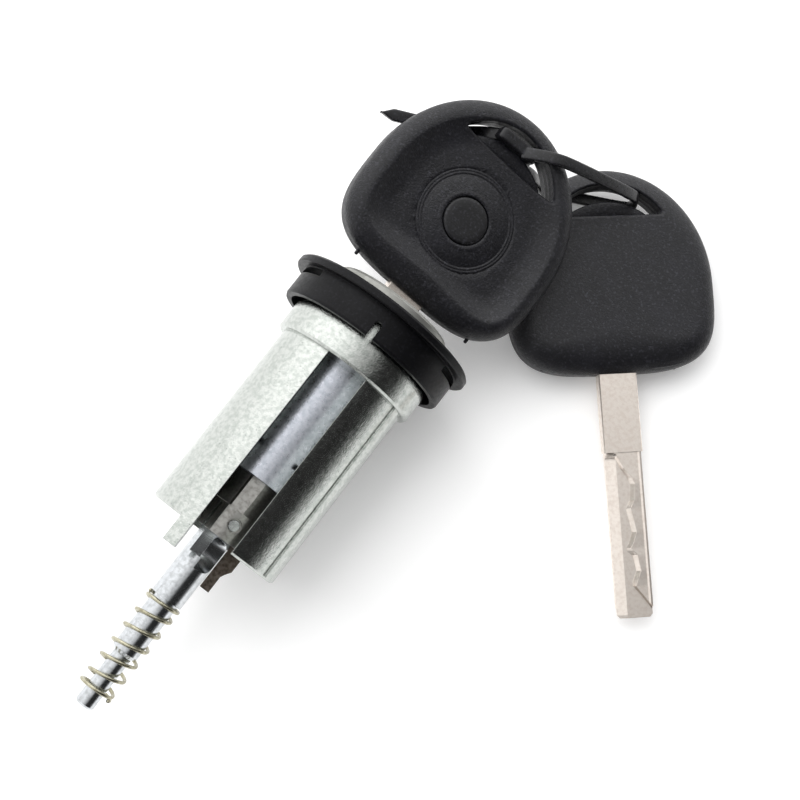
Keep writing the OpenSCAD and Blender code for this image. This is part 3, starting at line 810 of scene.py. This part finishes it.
    def badge(self) -> Shell:
        """Turn the plain badge disc, with a softened edge.

        Returns:
            Points and quads.
        """
        r, top, low = self.badge_r, self.badge_top, self.badge_low
        profile = [(POLE, top), (3 * POLE, top), (6 * POLE, top), (r * 0.6, top), (r - 0.5, top - 0.02),
                   (r - 0.22, top - 0.08), (r - 0.06, top - 0.19), (r, top - 0.36), (r, low), (POLE, low)]
        return self.on_dish(lathe(profile, 120))

    def stubs(self, proud: float) -> list[Shell]:
        """Turn the mould's stubs on the blade end.

        Args:
            proud: how far they stand out of it.

        Returns:
            Points and quads of each stub.
        """
        profile = [(POLE, -1), (self.nub_r, -1), (self.nub_r - 0.02, proud - 0.14),
                   (self.nub_r - 0.13, proud - 0.02), (POLE, proud)]
        points, faces = lathe(profile, 20)
        shells = []
        for x in self.nubs:
            bulge = 1 - (abs(x) / (self.width / 2)) ** self.square
            y = self.middle + self.widest * bulge ** (1 / self.square)
            shells.append((np.stack([points[:, 0] + x, points[:, 2] + y, -points[:, 1]], axis=1), faces))
        return shells


@dataclass(frozen=True)
class BladeShape:
    """Milled blade in its key's own axes: a plain shank, then a track with a wavy wall in both faces."""

    front: float = -7.3
    length: float = 45.6
    root: float = 12.0
    width: float = 7.4
    milled: float = 6.7
    thick: float = 2.5
    shank: float = 14.8
    shank_edge: float = 0.22
    depth: float = 0.75
    bevel: float = 1.8
    bevel_drop: float = 0.75
    bevel_start: float = 0.3
    bevel_ramp: float = 0.9
    groove: float = 0.75
    groove_depth: float = 0.14
    ridge: float = 0.38
    runout: float = 1.5
    side_runout: float = 0.45
    # Near the tip the land falls to the track's floor from here on, over this length.
    land_end: float = 28.7
    land_fall: float = 0.6
    tip_cut: float = 0.6
    # Least distance between two lines of the section, and least width of the bevel.
    line_gap: float = 0.02
    bevel_gap: float = 0.05
    # Turning points of the wall: distance past the shank, then the wall's place or its slope's width.
    wall: Profile = (
        (0, 1.6), (3, 3.1), (4.9, 4.6), (6, 5.0), (9, 4.7), (10.5, 3.8), (13, 4.3), (15, 4.6),
        (16.8, 3.9), (17.9, 3.3), (19.2, 4.4), (22.2, 4.9), (23.7, 4.2), (25, 3.7), (29, 6.6))
    wall_run: Profile = (
        (0, 0.3), (3.5, 0.5), (5, 0.75), (17.9, 0.7), (18.5, 1.1), (19.3, 0.7), (24, 0.7), (25.2, 0.3),
        (29, 0.2))

    @staticmethod
    def closed(x: Array, z: Array, y: Array) -> Shell:
        """Carry a half section along Y, turn it half round for the other half, and close both ends.

        Args:
            x: place across of each half-section point, one row for each place along Y.
            z: height of the same points.
            y: places along Y.

        Returns:
            Points and quads.
        """
        ring = np.stack([np.concatenate([x, -x], axis=1), np.repeat(y[:, None], 2 * x.shape[1], axis=1),
                         np.concatenate([z, -z], axis=1)], axis=2)
        ends = ring[[0, -1]] * np.array([POLE, 1, POLE])
        rows = np.concatenate([ends[:1], ring, ends[1:]])
        return outward(rows.reshape(-1, 3), grid_faces(len(rows), rows.shape[1], False, True))

    def plain(self) -> Shell:
        """Work out the shank: a flat bar with broken edges.

        Returns:
            Points and quads.
        """
        half, high, cut = self.width / 2, self.thick / 2, self.shank_edge
        y = np.linspace(self.front - self.root, self.front + self.shank, 24)
        x = np.broadcast_to([half, half - cut, cut - half, -half], (len(y), 4))
        z = np.broadcast_to([high - cut, high, high, high - cut], (len(y), 4))
        return self.closed(x, z, y)

    def track(self) -> Shell:
        """Work out the milled part.

        Across the blade the section goes from a slanted bevel to the track's floor, up the wall and over the
        land to a shallow groove and a ridge. The wall's place is a line through its turning points, the floor
        runs out upwards at the shank, and the tip's corners are cut.

        Returns:
            Points and quads.
        """
        gone = np.linspace(0, self.length - self.shank, 420)
        none = np.zeros_like(gone)
        half, high = self.milled / 2, self.thick / 2
        top = np.interp(gone, *np.array(self.wall).T)
        foot = top - np.interp(gone, *np.array(self.wall_run).T)
        grown = self.bevel * smooth((gone - self.bevel_start) / self.bevel_ramp)
        bevel = np.minimum(grown + self.bevel_gap, foot - self.bevel_gap)
        groove = np.maximum(self.milled - self.groove, top + self.line_gap)
        ridge = np.maximum(self.milled - self.ridge, groove + self.line_gap)
        side = high - self.depth * smooth(gone / self.side_runout)
        floor = high - self.depth * smooth(gone / self.runout)
        land = high - smooth((gone - self.land_end) / self.land_fall) * self.depth
        low = land - self.groove_depth
        across = np.stack([none, bevel, foot, top, groove, ridge, none + self.milled], axis=1)
        edge = side - self.bevel_drop * bevel / self.bevel
        z = np.stack([edge, side, floor, land, low, land, low], axis=1)
        reach = half - np.maximum(0, gone - (gone[-1] - self.tip_cut))
        x = np.clip(half - across, -reach[:, None], reach[:, None])
        return self.closed(x, z, self.front + self.shank + gone)


@dataclass
class Keys:
    """The key in the lock and the spare: where they lie, and their bows, badges and blades."""

    shape: BowShape
    blade: BladeShape
    roll: float = -14.0
    spare_at: Triple = (-40.72, -23.36, -13.65)
    spare_turn: float = 41.0
    key_stub: float = 0.84
    spare_stub: float = 0.1
    blade_crease: float = 12.0

    def key_place(self) -> Array:
        """Place of the key in the lock."""
        return turn_matrix("Y", self.roll)

    def spare_place(self) -> Array:
        """Place of the spare key, face down."""
        flat = turn_matrix("Z", self.spare_turn, self.spare_at) @ turn_matrix("Y", 180)
        return flat @ turn_matrix("Y", 0, (0, -self.shape.front, 0))

    def mesh(self) -> None:
        """Make both bows, badges and blades."""
        bow = [self.shape.shell(), self.shape.tongue(), self.shape.rosette()]
        badge = [self.shape.badge()]
        blade = [self.blade.plain(), self.blade.track()]
        for name, place, proud in (("key", self.key_place(), self.key_stub),
                                   ("spare", self.spare_place(), self.spare_stub)):
            for part, shells, finish, slot, crease in (
                    ("bow", bow + self.shape.stubs(proud), Finish.BOW, "bow_plastic", NO_CREASE),
                    ("badge", badge, Finish.BADGE, "badge_plastic", NO_CREASE),
                    ("blade", blade, Finish.BLADE, "blade_nickel", self.blade_crease)):
                there = [(placed(points, place), faces) for points, faces in shells]
                new_piece(f"{name}_{part}_skin", there, Body.KEY, finish, (f"{name}_{part}",), crease)


@dataclass
class SpindleSpring:
    """Compression spring on the spindle: closed end turns and an even pitch between them."""

    roll: float
    start: float = 59.65
    outer: float = 6.7
    wire: float = 0.65
    turns: float = 7.6
    length: float = 19.2
    steps: int = 56
    sides: int = 16

    def mesh(self) -> None:
        """Carry a circle of the wire's size along a helix; the last ring at each end shrinks to a point."""
        count = int(self.turns * self.steps)
        turn = np.concatenate([[0], np.linspace(0, self.turns, count), [self.turns]])
        size = np.ones(count + 2)
        size[[0, -1]] = END_SHARE
        open_turns = self.turns - 2
        pitch = (self.length - 3 * self.wire) / open_turns
        rise = np.interp(turn, [0, 1, self.turns - 1, self.turns],
                         [0, self.wire, self.wire + pitch * open_turns, self.length - self.wire])
        angle = FULL_TURN * turn[:, None]
        ring = np.linspace(0, FULL_TURN, self.sides, endpoint=False)
        wire = self.wire / 2 * size[:, None]
        radius = (self.outer - self.wire) / 2 + wire * np.cos(ring)
        along = self.start + self.wire / 2 + rise[:, None] + wire * np.sin(ring)
        points = np.stack([radius * np.cos(angle), along, -radius * np.sin(angle)], axis=2).reshape(-1, 3)
        faces = grid_faces(count + 2, self.sides, False, True)
        shell = outward(placed(points, turn_matrix("Y", self.roll)), faces)
        new_piece("spindle_spring_skin", [shell], Body.ROTOR, Finish.WIRE, ("spindle_spring",))


@dataclass
class CableTie:
    """Nylon tie: a loop through both eyes, its head and its free tail."""

    keys: Keys
    wide: float = 2.2
    thick: float = 1.0
    square: float = 0.35
    floor: float = -18.25
    floor_gap: float = 0.15
    slack: float = 0.65
    top_gap: float = 0.4
    loop_cut: float = 1.6
    # Places across the bows where the strap passes the eyes.
    key_hole: float = -2.65
    spare_hole: float = 6.2
    tail_hole: float = 4.3
    tail_turn: float = 28.8
    tail_len: float = 21.3
    tail_cut: float = 0.8
    tail_taper: float = 2.4
    tail_point: float = 0.12
    head: Triple = (8.6, 2.4, 4.4)
    head_square: float = 0.25
    head_start: float = -0.75
    head_top: float = 3.2

    @staticmethod
    def rounded(corners: Sequence[Pair], cut: float) -> Array:
        """Round a path: each corner is cut back, then corners are cut to quarters four times over.

        Args:
            corners: run and height of the path's corners.
            cut: length cut back on each side of a corner.

        Returns:
            Run and height of the rounded path's points.
        """
        points = np.array(corners, float)
        way = np.diff(points, axis=0)
        reach = np.linalg.norm(way, axis=1, keepdims=True)
        share = np.minimum(cut / reach, 0.4)
        before, after = points[1:] - way * share, points[:-1] + way * share
        path = np.concatenate([points[:1], np.stack([after, before], axis=1).reshape(-1, 2), points[-1:]])
        for _ in range(4):
            first = 0.75 * path[:-1] + 0.25 * path[1:]
            second = 0.25 * path[:-1] + 0.75 * path[1:]
            path = np.concatenate([path[:1], np.stack([first, second], axis=1).reshape(-1, 2), path[-1:]])
        return path

    def band(self, path: Array, place: Array, taper: float = 0.0) -> Shell:
        """Carry the strap's rounded section along a path in an upright plane.

        The section is a superellipse, wide across the plane and thick along the path's normal. The rings at
        both ends shrink to a point, and a tail narrows over the taper length.

        Args:
            path: run and height of the path's points.
            place: matrix that sets the upright plane of X and Z in the model.
            taper: length over which the end narrows.

        Returns:
            Points and quads.
        """
        path = np.concatenate([path[:1], path, path[-1:]])
        way = np.gradient(path, axis=0)
        way[0], way[-1] = path[2] - path[1], path[-2] - path[-3]
        way /= np.linalg.norm(way, axis=1, keepdims=True)
        size = np.ones(len(path))
        size[[0, -1]] = END_SHARE
        gone = np.cumsum(np.linalg.norm(np.diff(path, axis=0, append=path[-1:]), axis=1)[::-1])[::-1]
        narrow = size * (np.clip(gone / taper, self.tail_point, 1) if taper else 1)
        ring = np.linspace(0, FULL_TURN, 28, endpoint=False)
        across = self.wide / 2 * pushed(np.cos(ring), self.square)
        deep = self.thick / 2 * pushed(np.sin(ring), self.square)
        run = path[:, :1] - way[:, 1:] * deep * size[:, None]
        high = path[:, 1:] + way[:, :1] * deep * size[:, None]
        points = np.stack([run, across * narrow[:, None], high], axis=2).reshape(-1, 3)
        return outward(placed(points, place), grid_faces(len(path), len(ring), False, True))

    def block(self, place: Array) -> Shell:
        """Work out the head: a box with soft edges, as a superquadric grid.

        Args:
            place: matrix that sets the upright plane of X and Z in the model.

        Returns:
            Points and quads.
        """
        u = np.linspace(-math.pi / 2, math.pi / 2, 41)[:, None]
        v = np.linspace(0, FULL_TURN, 80, endpoint=False)[None, :]
        out, up, x, y = (pushed(w, self.head_square) for w in (np.cos(u), np.sin(u), np.cos(v), np.sin(v)))
        a, b, c = (size / 2 for size in self.head)
        grid = np.broadcast_arrays(a * out * x + a + self.head_start, b * out * y, c * up + self.head_top - c)
        points = np.stack(grid, axis=2).reshape(-1, 3)
        return outward(placed(points, place), grid_faces(u.size, v.size, False, True))

    @staticmethod
    def turn_to(start: Array, end: Array) -> float:
        """Direction from one point to another, in degrees about Z."""
        return math.degrees(math.atan2(end[1] - start[1], end[0] - start[0]))

    @staticmethod
    def plane(origin: Array, turn: float) -> Array:
        """Matrix of an upright plane through a point, turned about Z."""
        return turn_matrix("Z", turn, (origin[0], origin[1], 0))

    def mesh(self) -> None:
        """Make the loop, the head and the tail as one piece; the head and the tail roll with the key."""
        shape = self.keys.shape
        roll = self.keys.key_place()
        hole, far, tail = (np.array([x, shape.eye_middle(x)])
                           for x in (self.key_hole, self.spare_hole, self.tail_hole))
        spare = placed(np.array([[*far, 0]]), self.keys.spare_place())[0]
        rim = shape.thick / 2 * float(shape.thin(np.array(shape.eye_line)))
        top = rim - self.top_gap
        under = self.floor + self.thick / 2 + self.floor_gap
        over = self.keys.spare_at[2] + rim + self.thick / 2 + self.slack
        below = -2 * rim
        tail_z = -rim - self.thick / 2 - self.slack
        run = float(np.linalg.norm(spare[:2] - hole))
        # From the head over the first bow, down the spare's eye, back along the floor and up to the head.
        loop = self.rounded([(-1.8, top - 0.7), (1.2, top), (6, top - 0.3), (run - 0.5, over),
                             (run + 0.5, under), (6.4, under), (2.6, below - 1.8), (0, below),
                             (0, self.head_top - self.head[2] + self.thick)], self.loop_cut)
        # From inside the eye down its slope, then out under the bow.
        end = self.rounded([(-1, 1.4), (0.4, 1), (2.8, -0.6), (4.3, -rim + 0.3), (5.6, tail_z),
                            (self.tail_len, tail_z)], self.tail_cut)
        shells = [self.band(loop, self.plane(hole, self.turn_to(hole, spare))),
                  self.block(roll @ self.plane(hole, self.turn_to(hole, tail))),
                  self.band(end, roll @ self.plane(tail, self.tail_turn), self.tail_taper)]
        new_piece("cable_tie_skin", shells, Body.KEY, Finish.NYLON, ("cable_tie",))


@dataclass(frozen=True)
class Plain:
    """Nodes that keep their own solids and only get a finish."""

    nodes: tuple[str, ...]
    finish: Finish

    def dress(self) -> None:
        """Give each node the finish."""
        for node in self.nodes:
            dress(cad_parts[node], self.finish)
            LOG.info("%s keeps its solid", node)


PLAIN = (
    Plain(("housing",), Finish.HOUSING),
    Plain(("plug",), Finish.PLUG),
    Plain(("face_cap",), Finish.FACE),
    Plain(("driver",), Finish.DRIVER),
    Plain(("catch_lever",), Finish.LEVER),
    Plain(("spindle",), Finish.STEEL),
    Plain(("lever_pin", "cross_pin", "retaining_wafer"), Finish.PIN),
    Plain(("retaining_spring",) + tuple(f"wafer_spring_{i}" for i in range(1, 9)), Finish.WIRE),
    Plain(tuple(f"wafer_{i}" for i in range(1, 9)), Finish.BRASS),
    Plain(("cap_ring",), Finish.CAP),
    Plain(("key_chip_cap", "spare_chip_cap"), Finish.BOW),
    Plain(("key_chip", "spare_chip"), Finish.CHIP),
)


@dataclass(frozen=True)
class Ramp:
    """Light of a room that rises along an aim, eased from nought at a low level to its most at a high one."""

    aim: Triple
    low: float
    high: float
    most: float

    def light(self, tree: Tree) -> Socket:
        """Add the ramp to a world.

        Args:
            tree: node tree that gets the nodes.

        Returns:
            Socket of the light.
        """
        way = add_node(tree, "TexCoord").outputs["Generated"]
        level = add_node(tree, "VectorMath", {0: way, 1: self.aim}, operation="DOT_PRODUCT").outputs["Value"]
        rise = add_node(tree, "MapRange", {
            "Value": level, "From Min": self.low, "From Max": self.high, "To Max": self.most},
            interpolation_type="SMOOTHSTEP")
        return rise.outputs[0]


@dataclass
class Studio:
    """Camera, white floor and soft light."""

    position: Triple = (-3.8, 45.7, 237.5)
    azimuth: float = 169.47
    elevation: float = 80.84
    roll: float = 48.28
    focal_px: float = 1370.8
    frame_px: float = 800.0
    sensor: float = 36.0
    near_m: float = 0.01
    floor_size: float = 3000.0
    floor_colour: str = "#f4f4f4"
    floor_glow: float = 0.18
    lamp_at: Triple = (440, -40, 560)
    lamp_size: float = 620
    lamp_watts: float = 3.3
    # Light of the room: its base, a rise towards +X, a brighter side, and a dark side above the floor.
    base: float = 0.36
    sideways: Ramp = Ramp((1, 0, 0), -0.6, 0.6, 0.72)
    crown: Ramp = Ramp((0.45, -0.85, 0.3), 0.35, 0.8, 0.9)
    dark: Ramp = Ramp((-0.87, 0.5, 0), 0.25, 0.42, -1.0)
    above: Ramp = Ramp((0, 0, 1), 0.08, 0.28, 1.0)
    whole: float = 1.08

    def camera(self) -> None:
        """Set the camera at the photograph's angle: azimuth and elevation aim it, and then it rolls."""
        a, e, r = (math.radians(v) for v in (self.azimuth, self.elevation, self.roll))
        back = np.array([math.sin(a) * math.cos(e), -math.cos(a) * math.cos(e), math.sin(e)])
        level = np.array([math.cos(a), math.sin(a), 0])
        upward = np.cross(back, level)
        right = math.cos(r) * level + math.sin(r) * upward
        matrix = np.eye(4)
        matrix[:3, 0] = right
        matrix[:3, 1] = np.cross(back, right)
        matrix[:3, 2] = back
        matrix[:3, 3] = np.array(self.position) * MM
        data = bpy.data.cameras.new("camera")
        data.sensor_width = self.sensor
        data.lens = self.focal_px * self.sensor / self.frame_px
        data.clip_start = self.near_m
        camera = bpy.data.objects.new("camera", data)
        camera.matrix_world = Matrix(matrix.tolist())
        bpy.context.scene.collection.objects.link(camera)
        bpy.context.scene.camera = camera

    def floor(self) -> None:
        """Lay a pale floor under the lowest point, a little brighter where it is looked at."""
        low = CAD_BOX[0][2]
        half = self.floor_size * MM / 2
        mesh = bpy.data.meshes.new("floor")
        corners = [(-half, -half, low), (half, -half, low), (half, half, low), (-half, half, low)]
        mesh.from_pydata(corners, [], [(0, 1, 2, 3)])
        floor = bpy.data.objects.new("floor", mesh)
        bpy.context.scene.collection.objects.link(floor)
        material, tree = new_material("white_floor")
        diffuse = add_node(tree, "BsdfDiffuse", {"Color": linear(self.floor_colour)})
        glow = add_node(tree, "Emission", {"Color": linear(WHITE), "Strength": self.floor_glow})
        nothing = add_node(tree, "Emission", {"Strength": 0.0})
        lit = add_node(tree, "MixShader", {0: self.seen(tree), 1: nothing.outputs[0], 2: glow.outputs[0]})
        both = add_node(tree, "AddShader", {0: diffuse.outputs[0], 1: lit.outputs[0]})
        add_node(tree, "OutputMaterial", {"Surface": both.outputs[0]})
        mesh.materials.append(material)

    @staticmethod
    def seen(tree: Tree) -> Socket:
        """One where a camera, glossy or transmission ray looks, and nought for other rays.

        Args:
            tree: node tree that gets the nodes.

        Returns:
            Socket of the test.
        """
        path = add_node(tree, "LightPath").outputs
        either = path["Is Camera Ray"]
        for kind in ("Is Glossy Ray", "Is Transmission Ray"):
            either = add_node(tree, "Math", {0: either, 1: path[kind]}, operation="MAXIMUM").outputs[0]
        return either

    def lamp(self) -> None:
        """Hang one large soft lamp at the lock's side, unseen in reflections."""
        data = bpy.data.lights.new("side", "AREA")
        data.size = self.lamp_size * MM
        data.energy = self.lamp_watts
        lamp = bpy.data.objects.new("side", data)
        lamp.location = [v * MM for v in self.lamp_at]
        lamp.rotation_euler = (-lamp.location).to_track_quat("-Z", "Y").to_euler()
        lamp.visible_glossy = False
        bpy.context.scene.collection.objects.link(lamp)

    def room(self) -> None:
        """Light the world as a bright room with one dark side, which gives the metal its bands.

        The light is the sideways rise, the base and the brighter side, times the whole less the dark side.
        """
        world = bpy.data.worlds.new("room")
        bpy.context.scene.world = world
        world.use_nodes = True
        tree = world.node_tree
        tree.nodes.clear()
        bright, strength = self.sideways.light(tree), self.dark.light(tree)
        for value in (self.base, self.crown.light(tree)):
            bright = add_node(tree, "Math", {0: bright, 1: value}, operation="ADD").outputs[0]
        steps = (("MULTIPLY", self.above.light(tree)), ("ADD", self.whole), ("MULTIPLY", bright))
        for operation, value in steps:
            strength = add_node(tree, "Math", {0: strength, 1: value}, operation=operation).outputs[0]
        glow = add_node(tree, "Background", {"Color": linear(WHITE), "Strength": strength})
        add_node(tree, "OutputWorld", {"Surface": glow.outputs[0]})

    def build(self) -> None:
        """Set up camera, floor, light and colour."""
        self.camera()
        self.floor()
        self.lamp()
        self.room()
        bpy.context.scene.view_settings.view_transform = "Standard"


def main() -> None:
    """Build the pieces, dress them and set the stage."""
    logging.basicConfig(level=logging.INFO, format="%(message)s")
    keys = Keys(BowShape(), BladeShape())
    keys.mesh()
    SpindleSpring(keys.roll).mesh()
    CableTie(keys).mesh()
    for plain in PLAIN:
        plain.dress()
    Studio().build()


if __name__ == "__main__":
    main()
